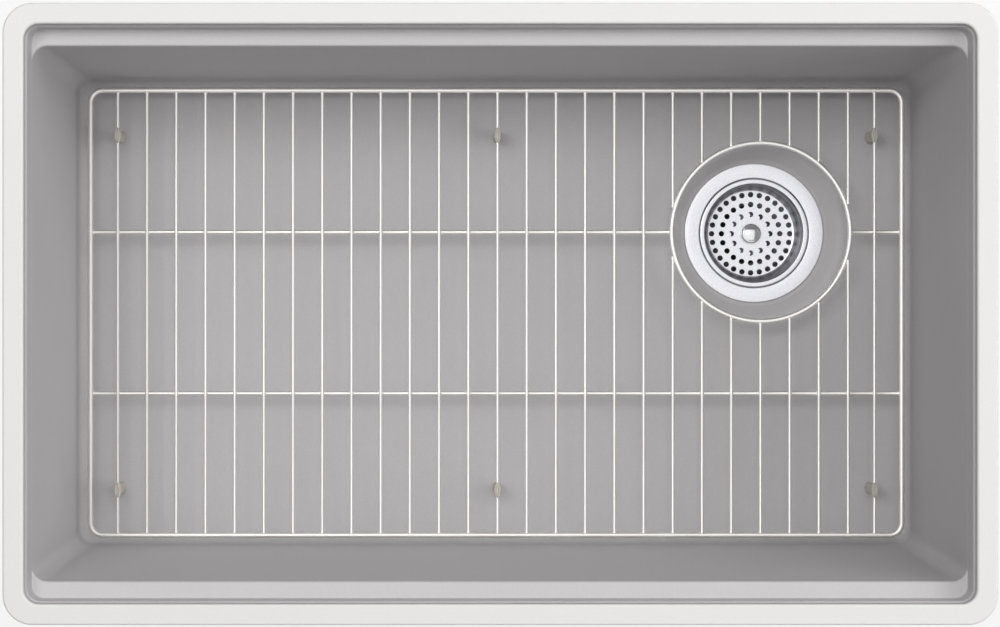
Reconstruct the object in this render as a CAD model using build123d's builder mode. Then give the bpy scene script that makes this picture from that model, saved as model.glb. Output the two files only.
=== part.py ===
from build123d import *
from math import cos, pi, radians, tan
import os

os.makedirs("parts", exist_ok=True)

# An undermount workstation sink, in millimetres. The origin is the centre of the
# rim's flat top. +Z is up, +X points to the drain's side and +Y to the rear ledge.
# The basket's stopper is down, as it is when the sink is filled.

# Mouth and rim
mouth_length = 704.6
mouth_width = 428.6
mouth_corner_radius = 11.0
mouth_round = 2.2
rim_side_land = 15.7
rim_end_land = 15.7
rim_corner_radius = 22.0
rim_thickness = 12.0
rim_top_round = 1.6
rim_under_bevel = 1.5
step_depth = 7.5
step_inset = 1.4
step_bevel = 0.5

# Bowl
wall = 9.5
bowl_depth = 228.6
side_draft_angle = 2.65
end_draft_angle = 3.04
ledge_depth = 25.0
ledge_width = 12.6
ledge_back_round = 1.5
ledge_edge_bevel = 1.0
lower_corner_radius = 11.5
floor_round = 9.0
shell_corner_radius = 20.0
shell_floor_round = 16.0
ledge_haunch_height = 13.0

# Drain, measured from the two nearest walls at the floor
drain_to_side_wall = 127.4
drain_to_rear_wall = 123.9
recess_depth = 7.0
recess_margin = 2.35
recess_slope_width = 11.5
recess_inner_round = 6.0
recess_outer_round = 14.0
drain_hole_clearance = 2.0
drain_flare_clearance = 0.6
boss_margin = 6.5
boss_slope_width = 14.0

# Strainer body
flange_radius = 57.15
flange_thickness = 1.4
flange_bevel = 0.6
seal_thickness = 0.6
seal_inset = 0.6
cup_seat_radius = 45.4
cup_seat_depth = 2.2
throat_radius = 42.0
throat_wall = 2.0
cone_drop = 8.0
outlet_seat_width = 6.5
outlet_radius = 19.5
spud_wall = 4.3
spud_length = 20.9

# Clamping stack under the drain hole
gasket_radius = 58.0
gasket_thickness = 3.0
gasket_bore_clearance = 0.3
friction_ring_radius = 57.0
friction_ring_thickness = 1.0
lock_nut_height = 11.0
lock_nut_wall = 9.0
lock_nut_lug_count = 8
lock_nut_lug_reach = 4.0
lock_nut_lug_width = 11.0
thread_clearance = 0.05

# Tailpiece, a standard 1 1/2 inch tube
tail_diameter = 38.1
tail_wall = 1.0
tail_neck_extra = 0.3
tail_flange_reach = 3.75
tail_flange_thickness = 1.5
tail_straight_length = 94.0
washer_thickness = 1.6
coupling_lip_thickness = 2.6
coupling_lip_clearance = 0.3
coupling_engagement = 12.0
coupling_wall = 4.0
coupling_chamfer = 1.5
neck_below_coupling = 1.0

# Basket
cup_rim_clearance = 0.8
cup_throat_clearance = 0.7
cup_sheet = 0.8
cup_wall_lean = 3.8
cup_depth = 25.0
cup_floor_thickness = 1.0
cup_floor_bevel = 1.2
cup_rim_bevel = 0.35
hole_diameter = 4.6
hole_ring_counts = (28, 20, 12)
hole_ring_margin = 4.1
hole_ring_pitch = 8.25
bush_hole_radius = 4.5
bush_flange_radius = 7.0
bush_flange_thickness = 1.2
bush_lip_radius = 5.6
bush_lip_thickness = 0.4
bush_fit = 0.05

# Stopper
knob_radius = 8.15
knob_height = 8.0
knob_lift = 0.6
knob_waist_radius = 6.9
knob_waist_height = 2.2
knob_socket_depth = 4.5
stem_radius = 3.0
stopper_travel = 8.0
plate_drop = 12.0
plate_inset = 4.0
plate_thickness = 1.2
stopper_seal_overlap = 4.5
stopper_seal_thickness = 3.0
stopper_seal_bevel = 0.8
seal_rest_gap = 0.3
stopper_nut_radius = 5.5
stopper_nut_height = 4.0
stem_end_length = 1.5

# Bottom grid
grid_height = 30.6
grid_side_gap = 10.3
grid_end_gap = 8.1
frame_wire = 4.5
frame_corner_radius = 10.0
frame_proud = 0.2
bar_wire = 2.5
bar_pitch = 23.72
bar_margin = 22.3
least_bar_gap = 8.0
cross_wire = 3.5
weld_set = 0.1
ring_radius = 72.5
ring_wire = 4.0
ring_proud = 0.2
ring_offset = 1.8
wire_sides = 12

# Rubber feet of the grid
foot_inset = 36.7
foot_base_width = 9.5
foot_base_length = 13.3
foot_base_height = 2.5
foot_flare_height = 4.0
foot_flare_angle = 24.0
foot_head_width = 5.5
foot_head_length = 12.4
foot_head_drop = 4.0
foot_head_bevel = 0.8
foot_cover = 1.2
foot_fit = 0.05
foot_slit = 0.8

# Places that follow from the sizes above
upper_half_width = mouth_width / 2 - step_inset
upper_corner_radius = mouth_corner_radius - step_inset
rim_length = mouth_length + 2 * rim_side_land
rim_width = mouth_width + 2 * rim_end_land
overcut = 1.0


def half_length_at(depth):
    """Half of the bowl's inside length between the drafted side walls."""
    return mouth_length / 2 - step_inset - (depth - step_depth) * tan(radians(side_draft_angle))


def half_width_at(depth):
    """Half of the bowl's inside width between the drafted walls under the ledges."""
    return upper_half_width - ledge_width - (depth - ledge_depth) * tan(radians(end_draft_angle))


def drafted_block(top_depth, bottom_depth, outset, half_width, width_draft, corner_radius):
    """A block between two depths. Its sides lean in as the bowl's do, a wall's outset apart."""
    top = Plane.XY.offset(-top_depth)
    with BuildPart() as block:
        with BuildSketch(top):
            Rectangle(2 * (half_length_at(top_depth) + outset), 2 * (half_width + outset))
        extrude(amount=top_depth - bottom_depth)
        draft(block.faces().filter_by(Axis.X), top, -side_draft_angle)
        if width_draft > 0:
            draft(block.faces().filter_by(Axis.Y), top, -width_draft)
        upright_edges = block.edges().filter_by(Axis.X, reverse=True).filter_by(Axis.Y, reverse=True)
        fillet(upright_edges, radius=corner_radius)
    return block.part


floor_height = -bowl_depth
seat_height = floor_height - recess_depth
boss_height = seat_height - wall
drain_x = half_length_at(bowl_depth) - drain_to_side_wall
drain_y = half_width_at(bowl_depth) - drain_to_rear_wall
drain_plane = Plane(origin=(drain_x, drain_y, 0), x_dir=(1, 0, 0), z_dir=(0, -1, 0))
drain_axis = Axis((drain_x, drain_y, 0), (0, 0, 1))

# Heights down the drain
seal_top = seat_height + seal_thickness
flange_top = seal_top + flange_thickness
cup_seat = flange_top - cup_seat_depth
cup_floor_top = flange_top - cup_depth
cup_floor_bottom = cup_floor_top - cup_floor_thickness
plate_top = cup_floor_bottom - plate_drop
stopper_seal_top = plate_top - plate_thickness
stopper_seal_bottom = stopper_seal_top - stopper_seal_thickness
outlet_seat = stopper_seal_bottom - seal_rest_gap
throat_bottom = outlet_seat + cone_drop
spud_bottom = outlet_seat - spud_length

# Radii down the drain. The hole's flare clears the cup seat of the strainer body.
thread_radius = throat_radius + throat_wall
drain_hole_radius = thread_radius + drain_hole_clearance
cup_seat_underside = cup_seat - flange_thickness
drain_flare_radius = cup_seat_radius + flange_thickness + seat_height - cup_seat_underside + drain_flare_clearance

# The mouth, down to the small step that runs all round under the rim
with BuildPart() as mouth_cut:
    with BuildSketch(Plane.XY.offset(-step_depth)):
        RectangleRounded(mouth_length, mouth_width, mouth_corner_radius)
    extrude(amount=step_depth + overcut)
    chamfer(mouth_cut.edges().group_by(Axis.Z)[0], length=step_bevel)

# The inside of the bowl: a wide part down to the two ledges and a narrower one under
# them. The side walls run straight on, so each ledge's rounded edge fades out there.
lower_top = ledge_depth - overcut
upper_hollow = drafted_block(
    step_depth - overcut, ledge_depth, 0, upper_half_width, 0, upper_corner_radius
)
lower_hollow = drafted_block(
    lower_top, bowl_depth, 0, half_width_at(lower_top), end_draft_angle, lower_corner_radius
)
ledge_reach = half_width_at(ledge_depth) + overcut
with BuildPart() as bowl_cut:
    add(upper_hollow)
    add(lower_hollow)
    fillet(bowl_cut.edges().group_by(Axis.Z)[0], radius=floor_round)
    level_edges = bowl_cut.edges().filter_by_position(Axis.Z, -ledge_depth - 0.1, -ledge_depth + 0.1)
    inner_edges = level_edges.filter_by_position(Axis.Y, -ledge_reach, ledge_reach)
    chamfer(inner_edges.filter_by(Axis.Y, reverse=True), length=ledge_edge_bevel)
    level_edges = bowl_cut.edges().filter_by_position(Axis.Z, -ledge_depth - 0.1, -ledge_depth + 0.1)
    fillet(level_edges.sort_by(Axis.Y)[0], radius=ledge_back_round)
    fillet(level_edges.sort_by(Axis.Y)[-1], radius=ledge_back_round)

# The round recess that the strainer's flange lies in
recess_seat_radius = flange_radius + recess_margin
with BuildPart() as recess_cut:
    with BuildSketch(drain_plane) as recess_profile:
        with BuildLine():
            Polyline(
                (0, seat_height),
                (recess_seat_radius, seat_height),
                (recess_seat_radius + 2 * recess_slope_width, seat_height + 2 * recess_depth),
                (0, seat_height + 2 * recess_depth),
                close=True,
            )
        make_face()
        corner = recess_profile.vertices().group_by(Axis.Y)[0].sort_by(Axis.X)[-1]
        fillet(corner, radius=recess_inner_round)
    revolve(axis=drain_axis)

# The outside of the bowl: a wide block under the rim, cut back at a slant under the
# ledges, and a narrower block that goes down round the bowl's floor
shell_top = rim_thickness / 2
haunch_bottom = ledge_depth + wall + ledge_haunch_height
haunch_width = upper_half_width - half_width_at(haunch_bottom) + overcut
upper_block = drafted_block(
    shell_top, haunch_bottom, wall, upper_half_width, 0, shell_corner_radius
)
lower_block = drafted_block(
    shell_top, bowl_depth + wall, wall, half_width_at(shell_top), end_draft_angle, shell_corner_radius
)
with BuildPart() as bowl_shell:
    add(upper_block)
    slant_edges = bowl_shell.edges().group_by(Axis.Z)[0]
    slant_base = bowl_shell.faces().sort_by(Axis.Z)[0]
    chamfer(slant_edges, length=haunch_width, length2=ledge_haunch_height, reference=slant_base)
    add(lower_block)
    fillet(bowl_shell.edges().group_by(Axis.Z)[0], radius=shell_floor_round)

with BuildPart() as sink_bowl:
    with BuildSketch(Plane.XY.offset(-rim_thickness)):
        RectangleRounded(rim_length, rim_width, rim_corner_radius)
    extrude(amount=rim_thickness)
    fillet(sink_bowl.edges().group_by(Axis.Z)[-1], radius=rim_top_round)
    chamfer(sink_bowl.edges().group_by(Axis.Z)[0], length=rim_under_bevel)
    add(bowl_shell.part)
    with BuildSketch(drain_plane):
        with BuildLine():
            Polyline(
                (0, boss_height),
                (recess_seat_radius + boss_margin, boss_height),
                (recess_seat_radius + boss_margin + boss_slope_width, floor_height - wall),
                (recess_seat_radius + boss_margin + boss_slope_width, floor_height - wall / 2),
                (0, floor_height - wall / 2),
                close=True,
            )
        make_face()
    revolve(axis=drain_axis)
    add(mouth_cut.part, mode=Mode.SUBTRACT)
    add(bowl_cut.part, mode=Mode.SUBTRACT)
    add(recess_cut.part, mode=Mode.SUBTRACT)
    with Locations((drain_x, drain_y, seat_height)):
        CounterSinkHole(
            radius=drain_hole_radius,
            counter_sink_radius=drain_flare_radius,
            counter_sink_angle=90,
        )
    level_faces = sink_bowl.faces().filter_by(Axis.Z)
    rim_face = level_faces.sort_by(Axis.Z)[-1]
    fillet(rim_face.inner_wires()[0].edges(), radius=mouth_round)
    step_face = sink_bowl.faces().filter_by(Axis.Z).group_by(Axis.Z)[-2][0]
    chamfer(step_face.inner_wires()[0].edges(), length=step_bevel)
    level_faces = sink_bowl.faces().filter_by(Axis.Z)
    floor_face = level_faces.filter_by_position(Axis.Z, floor_height - 0.1, floor_height + 0.1)[0]
    fillet(floor_face.inner_wires()[0].edges(), radius=recess_outer_round)
sink_bowl.part.label = "sink_bowl"
export_step(sink_bowl.part, "parts/sink_bowl.step")

# The seal between the flange and the recess
with BuildPart() as flange_seal:
    with BuildSketch(Plane(origin=(drain_x, drain_y, seat_height))):
        Circle(flange_radius - seal_inset)
        Circle(drain_flare_radius, mode=Mode.SUBTRACT)
    extrude(amount=seal_thickness)
flange_seal.part.label = "flange_seal"
export_step(flange_seal.part, "parts/flange_seal.step")

# Strainer body: flange, seat for the basket, threaded throat, cone and outlet spud
outlet_seat_radius = outlet_radius + outlet_seat_width
cone_slope = cone_drop / (throat_radius - outlet_seat_radius)
cone_shell_drop = throat_wall * (1 + cone_slope**2) ** 0.5
spud_radius = outlet_radius + spud_wall
with BuildPart() as strainer_body:
    with BuildSketch(drain_plane) as body_profile:
        with BuildLine():
            Polyline(
                (flange_radius, flange_top),
                (cup_seat_radius, flange_top),
                (cup_seat_radius, cup_seat),
                (throat_radius, cup_seat),
                (throat_radius, throat_bottom),
                (outlet_seat_radius, outlet_seat),
                (outlet_radius, outlet_seat),
                (outlet_radius, spud_bottom),
                (spud_radius, spud_bottom),
                (spud_radius, throat_bottom - cone_shell_drop - (throat_radius - spud_radius) * cone_slope),
                (thread_radius, throat_bottom - cone_shell_drop + throat_wall * cone_slope),
                (thread_radius, cup_seat_underside),
                (cup_seat_radius + flange_thickness, cup_seat_underside),
                (cup_seat_radius + flange_thickness, seal_top),
                (flange_radius, seal_top),
                close=True,
            )
        make_face()
        rim_corner = body_profile.vertices().group_by(Axis.Y)[-1].sort_by(Axis.X)[-1]
        chamfer(rim_corner, length=flange_bevel)
    revolve(axis=drain_axis)
strainer_body.part.label = "strainer_body"
export_step(strainer_body.part, "parts/strainer_body.step")

# The stack that clamps the strainer body to the boss under the bowl
gasket_bottom = boss_height - gasket_thickness
friction_ring_bottom = gasket_bottom - friction_ring_thickness
lock_nut_bottom = friction_ring_bottom - lock_nut_height
with BuildPart() as rubber_gasket:
    with BuildSketch(Plane(origin=(drain_x, drain_y, gasket_bottom))):
        Circle(gasket_radius)
        Circle(thread_radius + gasket_bore_clearance, mode=Mode.SUBTRACT)
    extrude(amount=gasket_thickness)
rubber_gasket.part.label = "rubber_gasket"
export_step(rubber_gasket.part, "parts/rubber_gasket.step")

with BuildPart() as friction_ring:
    with BuildSketch(Plane(origin=(drain_x, drain_y, friction_ring_bottom))):
        Circle(friction_ring_radius)
        Circle(thread_radius + gasket_bore_clearance, mode=Mode.SUBTRACT)
    extrude(amount=friction_ring_thickness)
friction_ring.part.label = "friction_ring"
export_step(friction_ring.part, "parts/friction_ring.step")

lock_nut_radius = thread_radius + lock_nut_wall
with BuildPart() as lock_nut:
    with BuildSketch(Plane(origin=(drain_x, drain_y, lock_nut_bottom))):
        Circle(lock_nut_radius)
        with PolarLocations(lock_nut_radius, lock_nut_lug_count):
            Rectangle(2 * lock_nut_lug_reach, lock_nut_lug_width)
        Circle(thread_radius + thread_clearance, mode=Mode.SUBTRACT)
    extrude(amount=lock_nut_height)
lock_nut.part.label = "lock_nut"
export_step(lock_nut.part, "parts/lock_nut.step")

# Tailpiece, hung from the spud by its coupling nut, with a washer between
tail_radius = tail_diameter / 2
tail_bore = tail_radius - tail_wall
neck_radius = tail_radius + tail_neck_extra
washer_bottom = spud_bottom - washer_thickness
tail_flange_bottom = washer_bottom - tail_flange_thickness
coupling_top = spud_bottom + coupling_engagement
coupling_bottom = tail_flange_bottom - coupling_lip_thickness
neck_bottom = coupling_bottom - neck_below_coupling
tail_bottom = neck_bottom - tail_straight_length
coupling_bore = spud_radius + thread_clearance
coupling_radius = coupling_bore + coupling_wall
with BuildPart() as tailpiece_washer:
    with BuildSketch(Plane(origin=(drain_x, drain_y, washer_bottom))):
        Circle(tail_radius + tail_flange_reach)
        Circle(tail_radius, mode=Mode.SUBTRACT)
    extrude(amount=washer_thickness)
tailpiece_washer.part.label = "tailpiece_washer"
export_step(tailpiece_washer.part, "parts/tailpiece_washer.step")

with BuildPart() as tailpiece:
    with BuildSketch(drain_plane):
        with BuildLine():
            Polyline(
                (tail_bore, washer_bottom),
                (tail_radius + tail_flange_reach, washer_bottom),
                (tail_radius + tail_flange_reach, tail_flange_bottom),
                (neck_radius, tail_flange_bottom),
                (neck_radius, neck_bottom),
                (tail_radius, neck_bottom),
                (tail_radius, tail_bottom),
                (tail_bore, tail_bottom),
                close=True,
            )
        make_face()
    revolve(axis=drain_axis)
tailpiece.part.label = "tailpiece"
export_step(tailpiece.part, "parts/tailpiece.step")

with BuildPart() as coupling_nut:
    with BuildSketch(Plane(origin=(drain_x, drain_y, coupling_bottom))):
        RegularPolygon(coupling_radius, 6, major_radius=False)
        Circle(neck_radius + coupling_lip_clearance, mode=Mode.SUBTRACT)
    extrude(amount=coupling_top - coupling_bottom)
    with BuildSketch(Plane(origin=(drain_x, drain_y, tail_flange_bottom))):
        Circle(coupling_bore)
    extrude(amount=coupling_top - tail_flange_bottom, mode=Mode.SUBTRACT)
    corner_radius = coupling_radius / cos(pi / 6)
    with BuildSketch(drain_plane):
        with BuildLine():
            Polyline(
                (0, coupling_bottom),
                (corner_radius - coupling_chamfer * 2, coupling_bottom),
                (corner_radius, coupling_bottom + coupling_chamfer),
                (corner_radius, coupling_top - coupling_chamfer),
                (corner_radius - coupling_chamfer * 2, coupling_top),
                (0, coupling_top),
                close=True,
            )
        make_face()
    revolve(axis=drain_axis, mode=Mode.INTERSECT)
coupling_nut.part.label = "coupling_nut"
export_step(coupling_nut.part, "parts/coupling_nut.step")

# Basket: a pressed cup whose turned-down rim stands in the strainer body's seat
cup_rim_radius = cup_seat_radius - cup_rim_clearance
cup_bore_radius = throat_radius - cup_throat_clearance - cup_sheet
cup_floor_radius = cup_bore_radius - cup_wall_lean
with BuildPart() as basket_cup:
    with BuildSketch(drain_plane) as cup_profile:
        with BuildLine():
            Polyline(
                (cup_rim_radius, cup_seat),
                (cup_rim_radius, flange_top),
                (cup_bore_radius, flange_top),
                (cup_floor_radius, cup_floor_top),
                (0, cup_floor_top),
                (0, cup_floor_bottom),
                (cup_floor_radius + cup_sheet, cup_floor_bottom),
                (cup_bore_radius + cup_sheet, flange_top - cup_sheet),
                (cup_rim_radius - cup_sheet, flange_top - cup_sheet),
                (cup_rim_radius - cup_sheet, cup_seat),
                close=True,
            )
        make_face()
        chamfer(cup_profile.vertices().group_by(Axis.Y)[-1], length=cup_rim_bevel)
        floor_corner = cup_profile.vertices().group_by(Axis.Y)[1].sort_by(Axis.X)[-1]
        chamfer(floor_corner, length=cup_floor_bevel)
        under_corner = cup_profile.vertices().group_by(Axis.Y)[0].sort_by(Axis.X)[-1]
        chamfer(under_corner, length=cup_floor_bevel)
    revolve(axis=drain_axis)
    with BuildSketch(Plane(origin=(drain_x, drain_y, cup_floor_bottom - overcut))):
        Circle(bush_hole_radius)
        for ring_number, hole_count in enumerate(hole_ring_counts):
            hole_ring_radius = cup_floor_radius - hole_ring_margin - ring_number * hole_ring_pitch
            with PolarLocations(hole_ring_radius, hole_count, start_angle=90):
                Circle(hole_diameter / 2)
    extrude(amount=cup_floor_thickness + 2 * overcut, mode=Mode.SUBTRACT)
basket_cup.part.label = "basket_cup"
export_step(basket_cup.part, "parts/basket_cup.step")

# The bush that guides the stopper's stem. Its lower end stops the stopper's lift.
bush_bottom = plate_top + stopper_travel
with BuildPart() as stem_bush:
    with BuildSketch(drain_plane):
        with BuildLine():
            Polyline(
                (stem_radius + bush_fit, cup_floor_top + bush_lip_thickness),
                (bush_lip_radius, cup_floor_top + bush_lip_thickness),
                (bush_lip_radius, cup_floor_top),
                (bush_hole_radius - bush_fit, cup_floor_top),
                (bush_hole_radius - bush_fit, cup_floor_bottom),
                (bush_flange_radius, cup_floor_bottom),
                (bush_flange_radius, cup_floor_bottom - bush_flange_thickness),
                (bush_hole_radius - bush_fit, cup_floor_bottom - bush_flange_thickness),
                (bush_hole_radius - bush_fit, bush_bottom),
                (stem_radius + bush_fit, bush_bottom),
                close=True,
            )
        make_face()
    revolve(axis=drain_axis)
stem_bush.part.label = "stem_bush"
export_step(stem_bush.part, "parts/stem_bush.step")

# Stopper, pushed down on its seat
knob_base = cup_floor_top + knob_lift
stem_top = knob_base + knob_socket_depth
nut_bottom = stopper_seal_bottom - stopper_nut_height
knob_widest = knob_base + knob_waist_height
knob_top = knob_base + knob_height
knob_dome_height = knob_height - knob_waist_height
knob_dome_radius = (knob_radius**2 + knob_dome_height**2) / (2 * knob_dome_height)
socket_radius = stem_radius + bush_fit
with BuildPart() as basket_knob:
    with BuildSketch(drain_plane):
        with BuildLine():
            RadiusArc((0, knob_top), (knob_radius, knob_widest), knob_dome_radius)
            Polyline(
                (knob_radius, knob_widest),
                (knob_waist_radius, knob_base),
                (socket_radius, knob_base),
                (socket_radius, stem_top),
                (0, stem_top),
                (0, knob_top),
            )
        make_face()
    revolve(axis=drain_axis)
basket_knob.part.label = "basket_knob"
export_step(basket_knob.part, "parts/basket_knob.step")

with BuildPart() as stopper_stem:
    with BuildSketch(Plane(origin=(drain_x, drain_y, nut_bottom - stem_end_length))):
        Circle(stem_radius)
    extrude(amount=stem_top - nut_bottom + stem_end_length)
stopper_stem.part.label = "stopper_stem"
export_step(stopper_stem.part, "parts/stopper_stem.step")

stopper_seal_radius = outlet_radius + stopper_seal_overlap
with BuildPart() as stopper_plate:
    with BuildSketch(Plane(origin=(drain_x, drain_y, stopper_seal_top))):
        Circle(stopper_seal_radius - plate_inset)
        Circle(stem_radius + bush_fit, mode=Mode.SUBTRACT)
    extrude(amount=plate_thickness)
stopper_plate.part.label = "stopper_plate"
export_step(stopper_plate.part, "parts/stopper_plate.step")

with BuildPart() as stopper_seal:
    with BuildSketch(Plane(origin=(drain_x, drain_y, stopper_seal_bottom))):
        Circle(stopper_seal_radius)
        Circle(stem_radius + bush_fit, mode=Mode.SUBTRACT)
    extrude(amount=stopper_seal_thickness)
    outer_edges = stopper_seal.edges().filter_by(GeomType.CIRCLE).group_by(SortBy.RADIUS)[-1]
    chamfer(outer_edges, length=stopper_seal_bevel)
stopper_seal.part.label = "stopper_seal"
export_step(stopper_seal.part, "parts/stopper_seal.step")

with BuildPart() as stopper_nut:
    with BuildSketch(Plane(origin=(drain_x, drain_y, nut_bottom))):
        RegularPolygon(stopper_nut_radius, 6)
        Circle(stem_radius + bush_fit, mode=Mode.SUBTRACT)
    extrude(amount=stopper_nut_height)
stopper_nut.part.label = "stopper_nut"
export_step(stopper_nut.part, "parts/stopper_nut.step")

# Bottom grid: a perimeter wire that every other wire is cut square against and welded to.
# The two thickest wires are bent with twelve flats, so that the others meet a flat.
bar_height = floor_height + grid_height
frame_height = bar_height + bar_wire / 2 + frame_proud - frame_wire / 2
ring_height = bar_height + bar_wire / 2 + ring_proud - ring_wire / 2
cross_height = bar_height - bar_wire / 2 - cross_wire / 2 + weld_set
frame_half_length = half_length_at(-frame_height) - grid_side_gap - frame_wire / 2
frame_half_width = half_width_at(-frame_height) - grid_end_gap - frame_wire / 2
flat_turn = 180 / wire_sides
with BuildPart() as grid_frame:
    with BuildSketch(Plane.XY.offset(frame_height), mode=Mode.PRIVATE) as frame_outline:
        RectangleRounded(2 * frame_half_length, 2 * frame_half_width, frame_corner_radius)
    with BuildSketch(Plane(origin=(0, -frame_half_width, frame_height), z_dir=(1, 0, 0))):
        RegularPolygon(frame_wire / 2, wire_sides, major_radius=False, rotation=flat_turn)
    sweep(path=frame_outline.face().outer_wire())
grid_frame.part.label = "grid_frame"
export_step(grid_frame.part, "parts/grid_frame.step")

# The ring stands a little off the drain's centre, towards the side wall
ring_x = drain_x + ring_offset
ring_plane = Plane(origin=(ring_x, drain_y, 0), x_dir=(1, 0, 0), z_dir=(0, -1, 0))
with BuildPart() as grid_drain_ring:
    with BuildSketch(ring_plane):
        with Locations((ring_radius, ring_height)):
            RegularPolygon(ring_wire / 2, wire_sides, major_radius=False, rotation=flat_turn)
    revolve(axis=Axis((ring_x, drain_y, 0), (0, 0, 1)))
grid_drain_ring.part.label = "grid_drain_ring"
export_step(grid_drain_ring.part, "parts/grid_drain_ring.step")

# What the ring keeps free of wires, out to its own outer side
ring_reach = ring_radius + ring_wire / 2
with BuildPart() as ring_core:
    with BuildSketch(Plane(origin=(ring_x, drain_y, cross_height - cross_wire))):
        Circle(ring_reach)
    extrude(amount=bar_height - cross_height + 2 * cross_wire)

bar_half_length = frame_half_width - frame_wire / 2
first_bar = -frame_half_length + bar_margin
last_bar = frame_half_length - bar_margin
bar_count = int((last_bar - first_bar) // bar_pitch) + 1
bar_places = [first_bar + bar_pitch * index for index in range(bar_count)]
if last_bar - bar_places[-1] > least_bar_gap:
    bar_places.append(last_bar)
for number, place in enumerate(bar_places, start=1):
    with BuildPart() as grid_bar:
        with BuildSketch(Plane(origin=(place, -bar_half_length, bar_height), z_dir=(0, 1, 0))):
            Circle(bar_wire / 2)
        extrude(amount=2 * bar_half_length)
        if abs(place - ring_x) < ring_reach + bar_wire:
            add(ring_core.part, mode=Mode.SUBTRACT)
    grid_bar.part.label = f"grid_bar_{number:02d}"
    export_step(grid_bar.part, f"parts/grid_bar_{number:02d}.step")

# Cross wires under the bars, on the drain's centre line and opposite it
cross_half_length = frame_half_length - frame_wire / 2
for name, side in (("front", -1), ("rear", 1)):
    with BuildPart() as grid_crossbar:
        origin = (-cross_half_length, side * drain_y, cross_height)
        with BuildSketch(Plane(origin=origin, z_dir=(1, 0, 0))):
            Circle(cross_wire / 2)
        extrude(amount=2 * cross_half_length)
        if side > 0:
            add(ring_core.part, mode=Mode.SUBTRACT)
    grid_crossbar.part.label = f"grid_crossbar_{name}"
    export_step(grid_crossbar.part, f"parts/grid_crossbar_{name}.step")

# Rubber feet, each a flared oval stem with a head that is pressed over a bar
foot_top = bar_height + bar_wire / 2 + foot_cover
foot_head_bottom = bar_height - bar_wire / 2 - foot_head_drop
foot_y = frame_half_width - foot_inset
foot_bars = (("left", bar_places[0]), ("middle", bar_places[len(bar_places) // 2]), ("right", bar_places[-1]))
for row, side in (("front", -1), ("rear", 1)):
    for column, place in foot_bars:
        with BuildPart() as grid_foot:
            with BuildSketch(Plane(origin=(place, side * foot_y, floor_height))):
                SlotOverall(foot_base_length, foot_base_width, rotation=90)
            extrude(amount=foot_base_height)
            base_top = grid_foot.faces().sort_by(Axis.Z)[-1]
            extrude(base_top, amount=foot_flare_height, taper=foot_flare_angle)
            flare_top = grid_foot.faces().sort_by(Axis.Z)[-1]
            extrude(flare_top, amount=foot_head_bottom - flare_top.center().Z)
            with BuildSketch(Plane(origin=(place, side * foot_y, foot_head_bottom))):
                SlotOverall(foot_head_length, foot_head_width, rotation=90)
            extrude(amount=foot_top - foot_head_bottom)
            chamfer(grid_foot.faces().sort_by(Axis.Z)[-1].edges(), length=foot_head_bevel)
            wire_start = (place, side * foot_y - foot_base_length, bar_height)
            with BuildSketch(Plane(origin=wire_start, z_dir=(0, 1, 0))):
                Circle(bar_wire / 2 + foot_fit)
            extrude(amount=2 * foot_base_length, mode=Mode.SUBTRACT)
            with BuildSketch(Plane(origin=(place, side * foot_y, bar_height))):
                Rectangle(foot_slit, 2 * foot_base_length)
            extrude(amount=foot_top - bar_height + overcut, mode=Mode.SUBTRACT)
        grid_foot.part.label = f"grid_foot_{row}_{column}"
        export_step(grid_foot.part, f"parts/grid_foot_{row}_{column}.step")
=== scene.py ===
# %% [markdown]
# The real object is a kitchen sink that hangs under a worktop: a moulded bowl of
# granite composite with a ledge along the front and the rear, a wire grid that stands
# on its floor on rubber feet, and a basket strainer in the drain. The measured model
# comes first, as a frame that is never moved. Everything after it is finish and light.

# %% Load the measured model
import math
import bpy
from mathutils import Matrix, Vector


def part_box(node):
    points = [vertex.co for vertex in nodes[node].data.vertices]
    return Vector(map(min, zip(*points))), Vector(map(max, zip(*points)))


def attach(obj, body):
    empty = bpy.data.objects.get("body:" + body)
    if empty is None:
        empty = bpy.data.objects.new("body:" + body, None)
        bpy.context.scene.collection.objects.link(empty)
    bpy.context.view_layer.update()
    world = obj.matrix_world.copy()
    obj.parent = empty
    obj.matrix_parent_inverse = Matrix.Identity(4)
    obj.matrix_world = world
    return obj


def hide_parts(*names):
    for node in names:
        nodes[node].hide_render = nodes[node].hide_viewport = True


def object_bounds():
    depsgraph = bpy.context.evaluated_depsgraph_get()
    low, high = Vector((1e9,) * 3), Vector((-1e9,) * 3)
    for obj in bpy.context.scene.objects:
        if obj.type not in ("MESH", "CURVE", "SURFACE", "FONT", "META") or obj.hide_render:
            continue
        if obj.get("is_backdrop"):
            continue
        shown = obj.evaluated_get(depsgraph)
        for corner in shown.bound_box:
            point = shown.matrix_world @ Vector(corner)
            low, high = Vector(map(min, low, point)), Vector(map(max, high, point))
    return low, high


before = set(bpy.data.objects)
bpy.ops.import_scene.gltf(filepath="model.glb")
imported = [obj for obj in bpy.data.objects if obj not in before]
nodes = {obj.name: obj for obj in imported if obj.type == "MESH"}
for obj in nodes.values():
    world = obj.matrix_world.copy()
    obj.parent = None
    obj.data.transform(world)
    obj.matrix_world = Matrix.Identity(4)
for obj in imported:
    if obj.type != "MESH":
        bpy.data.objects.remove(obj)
cad_low, cad_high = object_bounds()
scene = bpy.context.scene
MM = 0.001
print("nodes:", len(nodes), "size in mm:", [round(s / MM, 1) for s in cad_high - cad_low])

# %% [markdown]
# The picture was taken from straight above, with the camera two metres over the rim and
# a little left of its middle. A long lens keeps the walls steep in the frame. The
# picture was cropped off centre afterwards, which a small shift of the lens repeats.

# %% Place the camera
camera_place = (-0.0342, 0.0103, 2.0)
focal_pixels = 2707
frame_width_pixels = 1000
centre_to_axis_x = 46
centre_to_axis_y = -13.5
sensor_width = 36
farthest_seen = 50

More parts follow.
